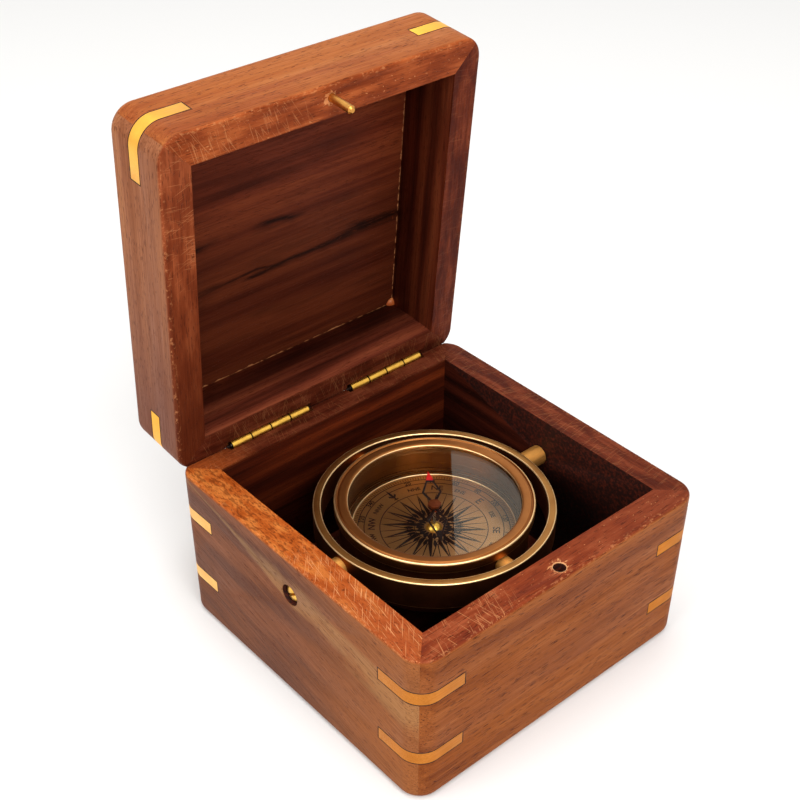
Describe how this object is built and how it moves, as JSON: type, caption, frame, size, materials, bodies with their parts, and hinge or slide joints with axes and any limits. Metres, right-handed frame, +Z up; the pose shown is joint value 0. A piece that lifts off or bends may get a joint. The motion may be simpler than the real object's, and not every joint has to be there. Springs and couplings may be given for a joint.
{
  "type": "compass box",
  "caption": "Square mitred wooden case with a hinged lid, brass corner strips, and a glazed compass bowl hung level in a gimbal ring.",
  "frame": {"origin": "middle of the case's underside", "axes": "+Z up; the front of the case faces -Y and the hinges are at the back, +Y; +X is to the right"},
  "size_m": [0.1, 0.1195, 0.1494],
  "materials": {
    "base_wood": "satin varnish",
    "lid_wood": "satin varnish",
    "brass": "polished",
    "aged_brass": "antique",
    "dial_brass": "matt",
    "lead": "cast",
    "glass": "clear",
    "steel": "turned",
    "needle_black": "matt black",
    "needle_red": "gloss red"
  },
  "bodies": {
    "case": {"base_back_wall": "base_wood", "base_floor": "base_wood", "base_front_wall": "base_wood", "base_hinge_leaf_left": "brass", "base_hinge_leaf_right": "brass", "base_hinge_nails": "brass", "base_left_wall": "base_wood", "base_right_wall": "base_wood", "base_strip_back_left_lower": "brass", "base_strip_back_left_upper": "brass", "base_strip_back_right_lower": "brass", "base_strip_back_right_upper": "brass", "base_strip_front_left_lower": "brass", "base_strip_front_left_upper": "brass", "base_strip_front_right_lower": "brass", "base_strip_front_right_upper": "brass", "hinge_pin_left": "steel", "hinge_pin_right": "steel", "pivot_screw_left": "brass", "pivot_screw_right": "brass"},
    "lid": {"lid_back_wall": "lid_wood", "lid_front_wall": "lid_wood", "lid_hinge_leaf_left": "brass", "lid_hinge_leaf_right": "brass", "lid_hinge_nails": "brass", "lid_left_wall": "lid_wood", "lid_panel": "lid_wood", "lid_right_wall": "lid_wood", "lid_strip_back_left": "brass", "lid_strip_back_right": "brass", "lid_strip_front_left": "brass", "lid_strip_front_right": "brass", "locating_peg": "brass"},
    "gimbal_ring": {"bowl_pivot_boss_back": "brass", "bowl_pivot_boss_front": "brass", "bowl_pivot_screw_back": "brass", "bowl_pivot_screw_front": "brass", "outer_ring": "aged_brass", "ring_sleeve_left": "brass", "ring_sleeve_right": "brass"},
    "bowl": {"balance_weight": "lead", "bezel_ring": "aged_brass", "bowl_shell": "aged_brass", "centre_pin": "steel", "cover_glass": "glass", "dial": "dial_brass", "dial_ring": "dial_brass", "pin_boss": "brass"},
    "needle": {"needle_blade": "needle_black", "needle_cap": "brass", "north_tip": "needle_red"}
  },
  "joints": [
    {"name": "lid_hinge", "type": "hinge", "parent": "case", "child": "lid", "pos_m": [0, 0.048, 0.05015], "axis": [1, 0, 0], "range_deg": [0, 85]},
    {"name": "ring_tilt", "type": "hinge", "parent": "case", "child": "gimbal_ring", "pos_m": [0, 0, 0.038], "axis": [1, 0, 0], "range_deg": [-50, 50]},
    {"name": "bowl_tilt", "type": "hinge", "parent": "gimbal_ring", "child": "bowl", "pos_m": [0, 0, 0.038], "axis": [0, 1, 0], "range_deg": [-50, 50]},
    {"name": "needle_spin", "type": "hinge", "parent": "bowl", "child": "needle", "pos_m": [0, 0, 0.038], "axis": [0, 0, 1], "continuous": true}
  ]
}
